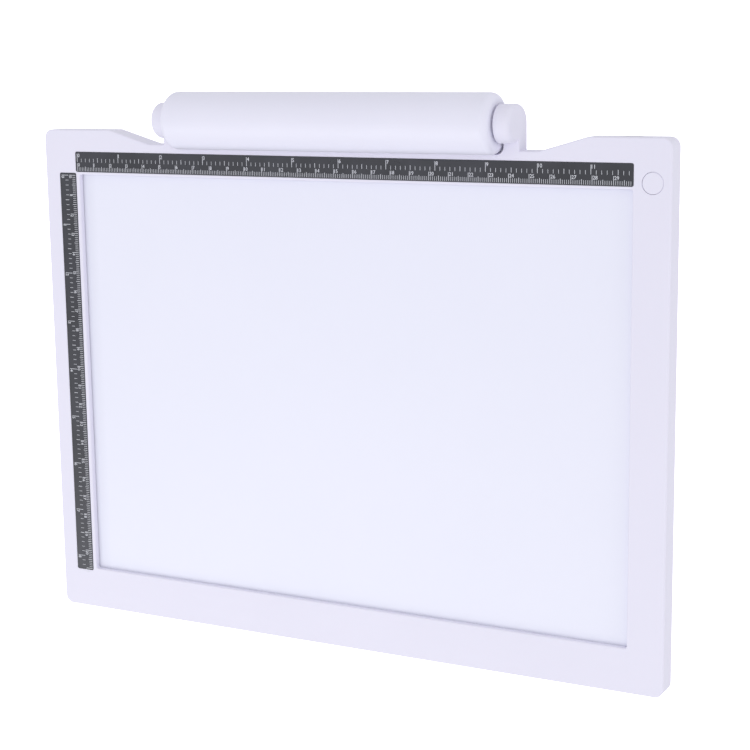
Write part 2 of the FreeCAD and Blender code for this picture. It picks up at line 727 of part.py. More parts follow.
def make_cells():
    cells = []
    for k in range(CELL_COUNT):
        x1 = positive_end - CONTACT_THICKNESS - CELL_LENGTH * k
        x0 = x1 - CELL_LENGTH
        can = rod_x(CELL_RADIUS, x0, x1 - CELL_NUB_LENGTH)
        can = can.makeFillet(CELL_EDGE_RADIUS, rim_edges(can, x1 - CELL_NUB_LENGTH, CELL_RADIUS))
        nub = rod_x(CELL_NUB_RADIUS, x1 - CELL_NUB_LENGTH, x1)
        cells.append(fuse([can, nub]))
    return cells


def make_contact_spring():
    """The negative contact: a short coil between the end plate and the last cell."""
    start = negative_end + CONTACT_THICKNESS + SPRING_WIRE_RADIUS
    height = SPRING_LENGTH - 2.0 * SPRING_WIRE_RADIUS
    steps = SPRING_TURNS * SPRING_STEPS
    places = []
    for k in range(steps + 1):
        angle = 2.0 * math.pi * k / SPRING_STEPS
        places.append(V(start + height * k / steps, axis_y + SPRING_COIL_RADIUS * math.cos(angle),
                        axis_z + SPRING_COIL_RADIUS * math.sin(angle)))
    path = Part.BSplineCurve()
    path.interpolate(places)
    wire_end = Part.makeCircle(SPRING_WIRE_RADIUS, places[0], places[1].sub(places[0]))
    return Part.Wire(path.toShape()).makePipeShell([Part.Wire(wire_end)], True, False)


def lead_offset():
    """Where the barrel's own lead runs: beside the cells, away from the door and the leaf."""
    angle = math.radians(door_angle - 180.0)
    radius = (barrel_bore + CELL_RADIUS) / 2.0
    return axis_y + radius * math.sin(angle), axis_z + radius * math.cos(angle)


def make_battery_tray():
    """Ribs that hold the cells on the axis, joined by a spine opposite the door."""
    outer = barrel_bore - TRAY_GAP
    inner = CELL_RADIUS + TRAY_CLEARANCE
    half = positive_end - CONTACT_THICKNESS - TRAY_END_ROOM
    pitch = (2.0 * half - TRAY_RIB) / (TRAY_RIBS - 1)
    ring = [rod_x(outer, -half + pitch * k, -half + pitch * k + TRAY_RIB) for k in range(TRAY_RIBS)]
    spine_tube = rod_x(outer, -half, half)
    spine_tube = spine_tube.cut(rod_x(outer - TRAY_SPINE, -half - OVERRUN, half + OVERRUN))
    spine_side = Part.makeBox(2.0 * half, TRAY_SPINE_WIDTH, 2.0 * BARREL_RADIUS,
                              V(-half, -TRAY_SPINE_WIDTH / 2.0, -2.0 * BARREL_RADIUS))
    spine_side.rotate(V(0, 0, 0), V(1, 0, 0), -door_angle)
    spine_side.translate(V(0, axis_y, axis_z))
    tray = fuse(ring + [spine_tube.common(spine_side)])
    lead_y, lead_z = lead_offset()
    cuts = [rod_x(inner, -half - OVERRUN, half + OVERRUN),
            door_slab(inner, half + OVERRUN),
            rod_x(LEAD_RADIUS + LEAD_GAP / 2.0, -half - OVERRUN, half + OVERRUN, lead_y, lead_z)]
    return tray.cut(cuts)


def make_barrel_lead():
    lead_y, lead_z = lead_offset()
    return rod_x(LEAD_RADIUS, -shell_half + LEAD_END_GAP, shell_half + CAP_SPIGOT, lead_y, lead_z)


def make_battery_door():
    half_width = door_width / 2.0 - DOOR_GAP
    half_length = door_length / 2.0 - DOOR_GAP
    ring = rod_x(BARREL_RADIUS, -half_length, half_length)
    hollow_half = half_length + OVERRUN
    ring = ring.cut(rod_x(BARREL_RADIUS - DOOR_THICKNESS, -hollow_half, hollow_half))
    door = ring.common(door_slab(half_width, half_length))
    ridges = []
    for k in range(DOOR_RIDGES):
        x = DOOR_RIDGE_PITCH * (k - (DOOR_RIDGES - 1) / 2.0)
        half = DOOR_RIDGE_SIZE / 2.0
        ridge = Part.makeBox(DOOR_RIDGE_SIZE, DOOR_RIDGE_WIDTH, DOOR_RIDGE_SIZE,
                             V(x - half, -DOOR_RIDGE_WIDTH / 2.0, BARREL_RADIUS - DOOR_RIDGE_SIZE))
        ridge.rotate(V(0, 0, 0), V(1, 0, 0), -door_angle)
        ridge.translate(V(0, axis_y, axis_z))
        ridges.append(ridge)
    return fuse([door] + ridges)


def make_stand_leaf():
    leaf = leaf_block(0.0, leaf_under, leaf_top)
    leaf = leaf.cut(rod_x(BARREL_RADIUS, -lug_inner, lug_inner))
    foot = leaf_foot_block(leaf_under - OVERRUN, leaf_under + LEAF_FOOT_DEPTH)
    return leaf.cut(foot)


def leaf_foot_block(z0, z1):
    half = leaf_tip_half - 2.0 * LEAF_CORNER_RADIUS
    y0 = leaf_tip_y + LEAF_FOOT_WIDTH / 2.0
    return rounded_plate(-half, half, y0, y0 + LEAF_FOOT_WIDTH, z0, z1, LEAF_FOOT_WIDTH * 0.4)


def make_leaf_foot():
    return leaf_foot_block(leaf_under - LEAF_FOOT_PROUD, leaf_under + LEAF_FOOT_DEPTH)


def make_hinge_pin(side):
    start = barrel_half - PIN_IN_CAP
    end = lug_inner + PIN_IN_LUG - PIN_END_GAP
    pin = rod_x(PIN_RADIUS, start, end)
    if side > 0:
        pin = pin.cut(rod_x(LEAD_BORE_RADIUS, start - OVERRUN, end + OVERRUN))
    return pin if side > 0 else pin.mirror(V(0, 0, 0), V(1, 0, 0))


def make_friction_washers():
    ring = rod_x(WASHER_RADIUS, barrel_half, barrel_half + WASHER_THICKNESS)
    ring = ring.cut(rod_x(PIN_RADIUS + PIN_CLEARANCE, barrel_half - OVERRUN,
                          barrel_half + 2.0 * OVERRUN))
    return [ring, ring.mirror(V(0, 0, 0), V(1, 0, 0))]


# ---------------------------------------------------------------- leads
def tube_along(points, radius, bend):
    """A round lead along straight runs joined by tangent arcs."""
    edges = []
    start = points[0]
    for before, corner, after in zip(points, points[1:], points[2:]):
        into = corner.sub(before).normalize()
        out = after.sub(corner).normalize()
        half_turn = into.getAngle(out) / 2.0
        trim = bend * math.tan(half_turn)
        arc_start = corner.sub(V(into).multiply(trim))
        arc_end = corner.add(V(out).multiply(trim))
        inward = out.sub(into).normalize()
        middle = corner.add(inward.multiply(bend / math.cos(half_turn) - bend))
        edges.append(Part.LineSegment(start, arc_start).toShape())
        edges.append(Part.Arc(arc_start, middle, arc_end).toShape())
        start = arc_end
    edges.append(Part.LineSegment(start, points[-1]).toShape())
    path = Part.Wire(edges)
    first = points[1].sub(points[0])
    ring = Part.Wire(Part.makeCircle(radius, points[0], first))
    return path.makePipeShell([ring], True, False)


def make_led_leads():
    x1, y1 = board_edges()
    lead_x = x1 - LEAD_GAP
    start_y = y1 - BOARD_ARM_LENGTH - LEAD_END_GAP
    strip_y = (strip_front + strip_back) / 2.0
    z = (guide_top + guide_under) / 2.0
    strip_end = led_places()[-1] + STRIP_OVERHANG + LED_WIDTH / 2.0
    leads = []
    for k in (0, 1):
        z_lead = z + (k - 0.5) * LEAD_PAIR_PITCH
        points = [V(lead_x, start_y, z_lead), V(lead_x, strip_y, z_lead),
                  V(strip_end + LEAD_END_GAP, strip_y, z_lead)]
        leads.append(tube_along(points, LEAD_RADIUS, LEAD_BEND))
    return leads


def make_battery_leads():
    """From the hollow pin down the channel in the right lug, then along the back border."""
    top, low = channel_ends()
    beside_stack = stack_back + LEAD_GAP + LEAD_RADIUS
    corner = V(low.x + LEAD_GAP, beside_stack, low.z)
    end = V(board_end_x - LEAD_END_GAP, beside_stack, low.z)
    return tube_along([top, low, corner, end], LEAD_RADIUS, LEAD_TIGHT_BEND)


def build_all():
    return {
        "front_bezel": make_front_bezel(),
        "rear_cover": make_rear_cover(),
        "rubber_feet": make_rubber_feet(),
        "cover_screws": make_cover_screws(),
        "screen_gasket": make_screen_gasket(),
        "diffuser_screen": stack_plate(guide_top, diffuser_top),
        "light_guide": stack_plate(guide_under, guide_top),
        "reflector_sheet": stack_plate(stack_under, guide_under),
        "led_strip_board": make_led_strip(),
        "leds": make_leds(),
        "top_ruler": make_ruler("top"),
        "side_ruler": make_ruler("side"),
        "control_board": make_control_board(),
        "board_components": make_board_components(),
        "tact_switch": make_tact_switch(),
        "switch_plunger": make_switch_plunger(),
        "power_button": make_power_button(),
        "power_inlet": make_power_inlet(),
        "led_leads": make_led_leads(),
        "battery_leads": make_battery_leads(),
        "barrel_shell": make_barrel_shell(),
        "barrel_cap_left": make_barrel_cap(-1),
        "barrel_cap_right": make_barrel_cap(1),
        "hinge_pin_left": make_hinge_pin(-1),
        "hinge_pin_right": make_hinge_pin(1),
        "friction_washers": make_friction_washers(),
        "battery_tray": make_battery_tray(),
        "battery_cells": make_cells(),
        "contact_plates": make_contact_plates(),
        "contact_spring": make_contact_spring(),
        "barrel_lead": make_barrel_lead(),
        "battery_door": make_battery_door(),
        "stand_leaf": make_stand_leaf(),
        "leaf_foot": make_leaf_foot(),
    }


def write_parts(nodes):
    os.makedirs("parts", exist_ok=True)
    for name, shape in nodes.items():
        solids = shape if isinstance(shape, list) else shape.Solids
        whole = solids[0] if len(solids) == 1 else Part.makeCompound(solids)
        whole.translate(V(BARREL_OFF_CENTRE, 0, 0))
        whole.exportStep("parts/" + name + ".step")
        box_of = whole.BoundBox
        print("%-18s %2d solid(s) valid=%s volume=%9.1f  x %7.1f %7.1f  y %7.1f %7.1f  z %6.2f %6.2f" % (
            name, len(whole.Solids), whole.isValid(), whole.Volume, box_of.XMin, box_of.XMax,
            box_of.YMin, box_of.YMax, box_of.ZMin, box_of.ZMax))


write_parts(build_all())
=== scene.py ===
"""Looks of the tracing light box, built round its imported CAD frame. Lengths are in metres."""
import json

import bmesh
import bpy
from mathutils import Matrix, Vector


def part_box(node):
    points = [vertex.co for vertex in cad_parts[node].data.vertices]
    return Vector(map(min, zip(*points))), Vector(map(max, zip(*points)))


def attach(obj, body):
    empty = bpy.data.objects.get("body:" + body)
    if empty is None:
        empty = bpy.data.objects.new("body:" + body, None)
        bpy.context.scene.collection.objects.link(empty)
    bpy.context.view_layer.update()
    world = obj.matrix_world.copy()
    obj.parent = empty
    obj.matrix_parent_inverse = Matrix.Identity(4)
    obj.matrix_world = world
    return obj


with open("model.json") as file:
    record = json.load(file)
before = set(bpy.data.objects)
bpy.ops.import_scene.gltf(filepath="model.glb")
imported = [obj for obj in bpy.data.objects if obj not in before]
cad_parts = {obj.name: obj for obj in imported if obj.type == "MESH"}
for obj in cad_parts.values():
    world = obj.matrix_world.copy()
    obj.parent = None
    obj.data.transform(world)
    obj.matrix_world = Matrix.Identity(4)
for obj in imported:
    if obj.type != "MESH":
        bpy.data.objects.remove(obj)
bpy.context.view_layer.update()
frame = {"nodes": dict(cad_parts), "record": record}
nodes = frame["nodes"]

MM = 0.001
INCH = 0.0254

# ---------------------------------------------------------------- camera
CAMERA_PLACE = Vector((0.4105, 0.1601, 0.7521))
CAMERA_RIGHT = Vector((0.8867, -0.0131, -0.4622))
CAMERA_UP = Vector((-0.0742, 0.9826, -0.1701))
CAMERA_BACK = Vector((0.4564, 0.1851, 0.8703))
CAMERA_LENS = 85.17
CAMERA_SENSOR = 36.0
CAMERA_NEAR = 0.01
CAMERA_FAR = 20.0


def make_camera():
    data = bpy.data.cameras.new("camera")
    data.lens = CAMERA_LENS
    data.sensor_width = CAMERA_SENSOR
    data.clip_start = CAMERA_NEAR
    data.clip_end = CAMERA_FAR
    camera = bpy.data.objects.new("camera", data)
    bpy.context.scene.collection.objects.link(camera)
    turn = Matrix((CAMERA_RIGHT, CAMERA_UP, CAMERA_BACK)).transposed()
    camera.matrix_world = Matrix.Translation(CAMERA_PLACE) @ turn.to_4x4()
    bpy.context.scene.camera = camera


# ---------------------------------------------------------------- studio
LIGHT_TINT = (0.962, 0.968, 1.0)
# the surroundings are brightest towards BRIGHT_SIDE and dimmest opposite it
BRIGHT_SIDE = (0.05, -0.25, 0.8)
WORLD_DIM = 0.74
WORLD_BRIGHT = 0.93
# the floor lies lower than the stand leaf's tip reaches when the stand is open
FLOOR_DROP = 0.165
FLOOR_HALF = 5.0
BACKDROP_RADIUS = 6.0
PAPER_GLOW = 1.05
PAPER_DARK = (0.93, 0.93, 0.94)
PAPER_LIGHT = (0.96, 0.96, 0.97)
# name, place, width, height, power
SOFTBOXES = [
    ("key_softbox", (-0.45, -0.50, 0.80), 0.7, 0.7, 1.7),
    ("side_softbox", (1.2, -0.1, 0.25), 0.8, 0.5, 1.4),
]


def make_world():
    world = bpy.data.worlds.new("studio")
    bpy.context.scene.world = world
    world.use_nodes = True
    tree = world.node_tree
    background = tree.nodes["Background"]
    background.inputs["Color"].default_value = (*LIGHT_TINT, 1.0)
    direction = tree.nodes.new("ShaderNodeTexCoord").outputs["Generated"]
    towards = tree.nodes.new("ShaderNodeVectorMath")
    towards.operation = "DOT_PRODUCT"
    tree.links.new(direction, towards.inputs[0])
    towards.inputs[1].default_value = BRIGHT_SIDE
    fade = tree.nodes.new("ShaderNodeMapRange")
    for name, value in (("From Min", -1.0), ("From Max", 1.0), ("To Min", WORLD_DIM),
                        ("To Max", WORLD_BRIGHT)):
        fade.inputs[name].default_value = value
    tree.links.new(towards.outputs["Value"], fade.inputs["Value"])
    tree.links.new(fade.outputs["Result"], background.inputs["Strength"])


def make_softboxes():
    for name, place, width, height, power in SOFTBOXES:
        data = bpy.data.lights.new(name, "AREA")
        data.shape = "RECTANGLE"
        data.size = width
        data.size_y = height
        data.energy = power
        data.color = LIGHT_TINT
        lamp = bpy.data.objects.new(name, data)
        bpy.context.scene.collection.objects.link(lamp)
        lamp.location = place
        lamp.rotation_mode = "QUATERNION"
        lamp.rotation_quaternion = (-Vector(place)).to_track_quat("-Z", "Y")


def make_floor():
    """A pale paper floor and a dome of the same paper, which shut out the rest of the room."""
    shader = Shader("studio_paper")
    shader.colour(shader.mottle(PAPER_DARK, PAPER_LIGHT, size=0.2))
    shader.set(**{"Roughness": 0.9, "Emission Color": (1.0, 1.0, 1.0, 1.0),
                  "Emission Strength": PAPER_GLOW})
    shape = bmesh.new()
    bmesh.ops.create_grid(shape, x_segments=8, y_segments=8, size=FLOOR_HALF)
    floor = finish_mesh("floor", shape)
    floor.location = (0.0, 0.0, -FLOOR_DROP)
    shape = bmesh.new()
    bmesh.ops.create_uvsphere(shape, u_segments=48, v_segments=24, radius=BACKDROP_RADIUS)
    dome = finish_mesh("backdrop", shape)
    for paper in (floor, dome):
        paper.data.materials.append(shader.material)
        # the paper shows behind the object and leaves its lighting to the softboxes
        paper.visible_diffuse = False
        paper.visible_glossy = False
        paper.visible_transmission = False
        paper.visible_shadow = False


def finish_mesh(name, shape):
    mesh = bpy.data.meshes.new(name)
    shape.to_mesh(mesh)
    shape.free()
    made = bpy.data.objects.new(name, mesh)
    bpy.context.scene.collection.objects.link(made)
    return made


# ---------------------------------------------------------------- shader helpers
class Shader:
    """One material: a Principled shader whose inputs are fed by procedural textures."""

    def __init__(self, name):
        self.material = bpy.data.materials.new(name)
        self.material.use_nodes = True
        self.tree = self.material.node_tree
        self.tree.nodes.clear()
        output = self.tree.nodes.new("ShaderNodeOutputMaterial")
        self.main = self.tree.nodes.new("ShaderNodeBsdfPrincipled")
        self.tree.links.new(self.main.outputs["BSDF"], output.inputs["Surface"])
        self.place = self.tree.nodes.new("ShaderNodeTexCoord").outputs["Object"]
        self.bumps = None

    def set(self, **values):
        """Constants on the shader's own sockets."""
        for name, value in values.items():
            self.main.inputs[name].default_value = value

    def node(self, kind, values=None, **settings):
        made = self.tree.nodes.new(kind)
        for name, value in settings.items():
            setattr(made, name, value)
        for name, value in (values or {}).items():
            if isinstance(value, bpy.types.NodeSocket):
                self.tree.links.new(value, made.inputs[name])
            else:
                made.inputs[name].default_value = value
        return made

    def stretched(self, scale):
        """Object coordinates scaled by axis, for brushed and drawn surfaces."""
        mapping = self.node("ShaderNodeMapping", {"Vector": self.place, "Scale": scale})
        return mapping.outputs["Vector"]

    def noise(self, size, detail=2.0, vector=None):
        """Noise whose features are about size metres across."""
        made = self.node("ShaderNodeTexNoise", {
            "Vector": vector or self.place, "Scale": 1.0 / size, "Detail": detail})
        return made.outputs["Fac"]

    def spread(self, value, low, high, start=0.3, end=0.7):
        """value from start to end, mapped onto low to high."""
        made = self.node("ShaderNodeMapRange", {
            "Value": value, "From Min": start, "From Max": end, "To Min": low, "To Max": high})
        return made.outputs["Result"]

    def mix(self, factor, first, second):
        """first where factor is 0, second where it is 1."""
        made = self.node("ShaderNodeMix", data_type="RGBA")
        for socket, value in ((made.inputs[0], factor), (made.inputs[6], first),
                              (made.inputs[7], second)):
            if isinstance(value, bpy.types.NodeSocket):
                self.tree.links.new(value, socket)
            elif isinstance(value, tuple):
                socket.default_value = (*value, 1.0)
            else:
                socket.default_value = value
        return made.outputs[2]

    def mottle(self, dark, light, size):
        """A soft wander between two colours, in patches about size metres across."""
        return self.mix(self.spread(self.noise(size, detail=3.0), 0.0, 1.0), dark, light)

    def maths(self, operation, first, second=0.0):
        made = self.node("ShaderNodeMath", {0: first, 1: second}, operation=operation)
        return made.outputs["Value"]

    def axis(self, name):
        split = self.node("ShaderNodeSeparateXYZ", {"Vector": self.place})
        return split.outputs[name]

    def colour(self, socket):
        self.tree.links.new(socket, self.main.inputs["Base Color"])

    def rough(self, texture, low, high, **span):
        """Roughness from low to high as the texture goes over its span."""
        socket = self.spread(texture, low, high, **span)
        self.tree.links.new(socket, self.main.inputs["Roughness"])

    def bump(self, height, depth):
        """Raises the surface by height, a 0 to 1 value, times depth in metres."""
        values = {"Height": height, "Distance": depth, "Strength": 1.0}
        if self.bumps:
            values["Normal"] = self.bumps
        self.bumps = self.node("ShaderNodeBump", values).outputs["Normal"]
        self.tree.links.new(self.bumps, self.main.inputs["Normal"])


# ---------------------------------------------------------------- materials
PLASTIC = {"IOR": 1.52, "Subsurface Weight": 0.06, "Subsurface Scale": 0.0012,
           "Subsurface Radius": (1.0, 0.9, 0.9)}
OPAL = {"IOR": 1.49, "Subsurface Weight": 0.12, "Subsurface Scale": 0.002,
        "Subsurface Radius": (1.0, 1.0, 1.0)}
CLEAR = {"IOR": 1.49, "Transmission Weight": 0.25}
LAMINATE = {"IOR": 1.5, "Coat Weight": 0.25, "Coat Roughness": 0.22}
RUBBER = {"Sheen Weight": 0.08, "Sheen Roughness": 0.6}
SOLDER_MASK = {"Coat Weight": 0.4, "Coat Roughness": 0.2}

# moulded plastic: flow mottling, scuffs drawn out along X, and a slow waviness of the face
FLOW_SHADE = 0.985
FLOW_SIZE = 0.06
SCUFF_SIZE = 0.004
SCUFF_STRETCH = (0.25, 1.0, 1.0)
SCUFF_ROUGHNESS = 0.05
WAVE_SIZE = 0.02
WAVE_TO_GRAIN = 2.0

# painted shade: the screen's colour is darker in a band beside the ruler's end, in place of the
# recess wall's shade
SCREEN_PAINTED_SHADE = (0.775, 0.783, 0.875)
SCREEN_SHADE_WIDTH = 0.010

# the light guide's printed dots: how many to a metre, and the radius where each one ends
DOTS_PER_METRE = 700.0
DOT_CORE = 0.26
DOT_RIM = 0.30

# metal: the shade and the size of its drawing marks
MARK_SHADE = 0.80
MARK_SIZE = 0.0004

# half height of an LED's phosphor window, from where it is whole to where it ends
PHOSPHOR_WHOLE = 0.00065
PHOSPHOR_END = 0.00075

# a battery's sleeve: where along each cell the second colour starts, and the bare end
CELL_COUNT = 3.0
COLLAR_START = 0.74
BARE_START = 0.965
BARE_METALLIC = 0.95


def moulded(name, colour, roughness, grain, depth):
    """Injection-moulded plastic: spark-eroded grain, faint flow mottling and light scuffing."""
    shader = Shader(name)
    darker = tuple(FLOW_SHADE * c for c in colour)
    shader.colour(shader.mottle(darker, colour, FLOW_SIZE))
    scuffs = shader.noise(SCUFF_SIZE, detail=4.0, vector=shader.stretched(SCUFF_STRETCH))
    shader.rough(scuffs, roughness - SCUFF_ROUGHNESS, roughness + SCUFF_ROUGHNESS)
    shader.bump(shader.noise(grain, detail=3.0), depth)
    shader.bump(shader.noise(WAVE_SIZE, detail=1.0), depth * WAVE_TO_GRAIN)
    shader.set(**PLASTIC)
    return shader.material


def screen_opal():
    """Opal acrylic: a smooth face over a milky body, with painted shade beside its frame."""
    shader = Shader("screen_opal")
    body = shader.mottle((0.852, 0.858, 0.972), (0.862, 0.866, 0.980), size=0.09)
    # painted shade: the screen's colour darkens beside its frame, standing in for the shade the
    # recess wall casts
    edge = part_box("top_ruler")[0].x
    painted_shade = shader.spread(shader.axis("X"), 0.0, 1.0, start=edge, end=edge + SCREEN_SHADE_WIDTH)
    # painted shade mixed into the screen's colour near its left edge
    shader.colour(shader.mix(painted_shade, SCREEN_PAINTED_SHADE, body))
    shader.rough(shader.noise(0.012, detail=3.0), low=0.30, high=0.36)
    shader.bump(shader.noise(0.0012), depth=0.000003)
    shader.set(**OPAL)
    return shader.material


def guide_acrylic():
    """Clear acrylic with its printed dots, seen from the cut edges."""
    shader = Shader("guide_acrylic")
    dots = shader.node("ShaderNodeTexVoronoi", {
        "Vector": shader.place, "Scale": DOTS_PER_METRE, "Randomness": 0.0})
    inside = shader.spread(dots.outputs["Distance"], 1.0, 0.0, start=DOT_CORE, end=DOT_RIM)
    shader.colour(shader.mix(inside, (0.80, 0.88, 0.88), (0.95, 0.96, 0.97)))
    shader.rough(inside, low=0.10, high=0.55, start=0.0, end=1.0)
    shader.set(**CLEAR)
    return shader.material


def reflector_film():
    shader = Shader("reflector_film")
    shader.colour(shader.mottle((0.93, 0.93, 0.94), (0.96, 0.96, 0.96), size=0.03))
    shader.rough(shader.noise(0.001), low=0.40, high=0.52)
    shader.bump(shader.noise(0.015), depth=0.00002)
    return shader.material


def ruler_black():
    """Slate-black printed laminate with a satin face and fine orange peel."""
    shader = Shader("ruler_black")
    shader.colour(shader.mottle((0.020, 0.021, 0.028), (0.034, 0.035, 0.046), size=0.018))
    shader.rough(shader.noise(0.010, detail=3.0), low=0.26, high=0.40)
    shader.bump(shader.noise(0.0007), depth=0.000006)
    shader.set(**LAMINATE)
    return shader.material


def ruler_print():
    """Screen-printed white ink, slightly uneven where it is thin."""
    shader = Shader("ruler_print")
    shader.colour(shader.mottle((0.66, 0.67, 0.72), (0.86, 0.87, 0.92), size=0.0008))
    shader.rough(shader.noise(0.0004), low=0.45, high=0.60)
    shader.bump(shader.noise(0.0002, detail=1.0), depth=0.000004)
    return shader.material


def rubbery(name, colour, roughness, grain):
    """Rubber or soft sleeving, a little lighter in patches."""
    shader = Shader(name)
    lighter = tuple(min(1.0, 1.18 * c + 0.004) for c in colour)
    shader.colour(shader.mottle(colour, lighter, size=0.004))
    shader.rough(shader.noise(grain * 3.0), low=roughness - 0.08, high=roughness + 0.06)
    shader.bump(shader.noise(grain, detail=3.0), depth=0.00003)
    shader.set(**RUBBER)
    return shader.material


def metal(name, colour, roughness, stretch):
    """Metal with drawing or turning marks along one axis."""
    shader = Shader(name)
    marks = shader.noise(MARK_SIZE, detail=4.0, vector=shader.stretched(stretch))
    darker = tuple(MARK_SHADE * c for c in colour)
    shader.colour(shader.mix(shader.spread(marks, 0.0, 1.0), darker, colour))
    shader.rough(marks, low=roughness + 0.10, high=roughness - 0.05)
    shader.bump(marks, depth=0.000008)
    shader.set(Metallic=1.0)
    return shader.material


def board(name, mask, trace, pitch):
    """A printed board: solder mask over copper tracks, which stand proud by a hair."""
    shader = Shader(name)
    tracks = shader.node("ShaderNodeTexBrick", {
        "Vector": shader.place, "Scale": 1.0 / pitch, "Mortar Size": 0.06, "Mortar Smooth": 0.2,
        "Color1": (0.0, 0.0, 0.0, 1.0), "Color2": (0.0, 0.0, 0.0, 1.0),
        "Mortar": (1.0, 1.0, 1.0, 1.0), "Brick Width": 1.7, "Row Height": 0.8})
    line = tracks.outputs["Fac"]
    cloudy = shader.mottle(mask, tuple(1.12 * c for c in mask), size=0.006)
    shader.colour(shader.mix(line, cloudy, trace))
    shader.bump(line, depth=0.00003)
    shader.rough(shader.noise(0.002), low=0.30, high=0.42)
    shader.set(**SOLDER_MASK)
    return shader.material


def led_phosphor():
    """A white housing with a yellow phosphor window on its lit face."""
    shader = Shader("led_phosphor")
    low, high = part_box("leds")
    middle = (low.z + high.z) / 2.0
    z = shader.maths("ABSOLUTE", shader.maths("SUBTRACT", shader.axis("Z"), middle))
    window = shader.spread(z, 1.0, 0.0, start=PHOSPHOR_WHOLE, end=PHOSPHOR_END)
    yellow = shader.mottle((0.82, 0.66, 0.16), (0.90, 0.74, 0.22), size=0.0005)
    shader.colour(shader.mix(window, (0.86, 0.86, 0.84), yellow))
    shader.rough(window, low=0.45, high=0.25, start=0.0, end=1.0)
    shader.bump(window, depth=0.00004)
    return shader.material


def component_black():
    shader = Shader("component_black")
    shader.colour(shader.mottle((0.028, 0.028, 0.031), (0.045, 0.045, 0.050), size=0.002))
    shader.rough(shader.noise(0.0006, detail=3.0), low=0.42, high=0.58)
    shader.bump(shader.noise(0.00012), depth=0.00001)
    return shader.material


def cell_wrap():
    """A plain two-colour sleeve that repeats with each cell, and a bare metal end."""
    shader = Shader("cell_wrap")
    low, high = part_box("battery_cells")
    pitch = (high.x - low.x) / CELL_COUNT
    along = shader.maths("SUBTRACT", shader.axis("X"), low.x)
    share = shader.maths("FRACT", shader.maths("DIVIDE", along, pitch))
    collar = shader.maths("GREATER_THAN", share, COLLAR_START)
    bare = shader.maths("GREATER_THAN", share, BARE_START)
    sleeve = shader.mix(collar, (0.030, 0.055, 0.085), (0.60, 0.30, 0.10))
    shader.colour(shader.mix(bare, sleeve, (0.62, 0.62, 0.62)))
    shader.rough(shader.noise(0.003, detail=3.0), low=0.20, high=0.32)
    shader.bump(shader.noise(0.0015), depth=0.00001)
    metallic = shader.maths("MULTIPLY", bare, BARE_METALLIC)
    shader.tree.links.new(metallic, shader.main.inputs["Metallic"])
    return shader.material


# each material slot of the record, and what makes its material
MATERIALS = {
    "housing_white": lambda: moulded("housing_white", (0.832, 0.812, 0.925), 0.48,
                                     0.0006, 0.000012),
    "barrel_white": lambda: moulded("barrel_white", (0.852, 0.842, 0.955), 0.36,
                                    0.0009, 0.000006),
    "button_white": lambda: moulded("button_white", (0.836, 0.816, 0.928), 0.34,
                                    0.0008, 0.000005),
    "screen_opal": screen_opal,
    "guide_acrylic": guide_acrylic,
    "reflector_film": reflector_film,
    "strip_board_white": lambda: board("strip_board_white", (0.80, 0.80, 0.78),
                                       (0.70, 0.70, 0.67), 0.004),
    "led_phosphor": led_phosphor,
    "ruler_black": ruler_black,
    "gasket_foam": lambda: rubbery("gasket_foam", (0.05, 0.05, 0.05), 0.85, 0.0003),
    "foot_rubber": lambda: rubbery("foot_rubber", (0.30, 0.30, 0.31), 0.70, 0.0004),
    "screw_steel": lambda: metal("screw_steel", (0.60, 0.60, 0.61), 0.30, (1.0, 1.0, 0.2)),
    "board_green": lambda: board("board_green", (0.02, 0.16, 0.07), (0.05, 0.26, 0.12), 0.003),
    "component_black": component_black,
    "inlet_steel": lambda: metal("inlet_steel", (0.66, 0.66, 0.67), 0.24, (1.0, 0.1, 1.0)),
    "lead_insulation": lambda: rubbery("lead_insulation", (0.42, 0.02, 0.02), 0.42, 0.0006),
    "pin_steel": lambda: metal("pin_steel", (0.62, 0.62, 0.64), 0.20, (4.0, 0.4, 0.4)),
    "washer_nylon": lambda: moulded("washer_nylon", (0.78, 0.76, 0.70), 0.42, 0.0005, 0.00001),
    "tray_grey": lambda: moulded("tray_grey", (0.34, 0.34, 0.36), 0.46, 0.0006, 0.000012),
    "cell_wrap": cell_wrap,
    "contact_nickel": lambda: metal("contact_nickel", (0.72, 0.70, 0.66), 0.18, (0.3, 1.0, 1.0)),
}


def dress_frame():
    """Gives every CAD node the material of its slot in the record."""
    made = {slot: build() for slot, build in MATERIALS.items()}
    for part in frame["record"]["subparts"]:
        slots = nodes[part["node"]].data.materials
        slots.clear()
        slots.append(made[part["material_slot"]])


# ---------------------------------------------------------------- ruler print
INK_THICKNESS = 0.03 * MM
INK_OVERLAP = 0.01 * MM
TICK_WIDTH = 0.22 * MM
FINE_TICK_WIDTH = 0.17 * MM
# distances from the ruler's outer edge to the two ends of each kind of mark
INCH_MARK = (0.9 * MM, 5.2 * MM)
HALF_INCH_MARK = (3.0 * MM, 5.2 * MM)
TENTH_MARK = (3.4 * MM, 5.2 * MM)
CENTIMETRE_MARK = (5.75 * MM, 9.75 * MM)
HALF_CENTIMETRE_MARK = (7.45 * MM, 9.75 * MM)
MILLIMETRE_MARK = (7.85 * MM, 9.75 * MM)
INCH_FIGURE = (0.9 * MM, 2.7 * MM)
CENTIMETRE_FIGURE = (5.75 * MM, 7.45 * MM)
FIGURE_SPACE = 0.35 * MM
ZERO_FROM_END = 1.12 * MM
CENTIMETRE = 10.0 * MM
PARTS_PER_UNIT = 10
TOP_SCALE_LENGTH = 298.0 * MM
SIDE_SCALE_LENGTH = 210.0 * MM
# how far the letters are pulled together, and how far they are drawn out before flattening
FIGURE_SPACING = 0.95
FIGURE_EXTRUDE = 0.5
COUNT_ROUNDING = 0.001


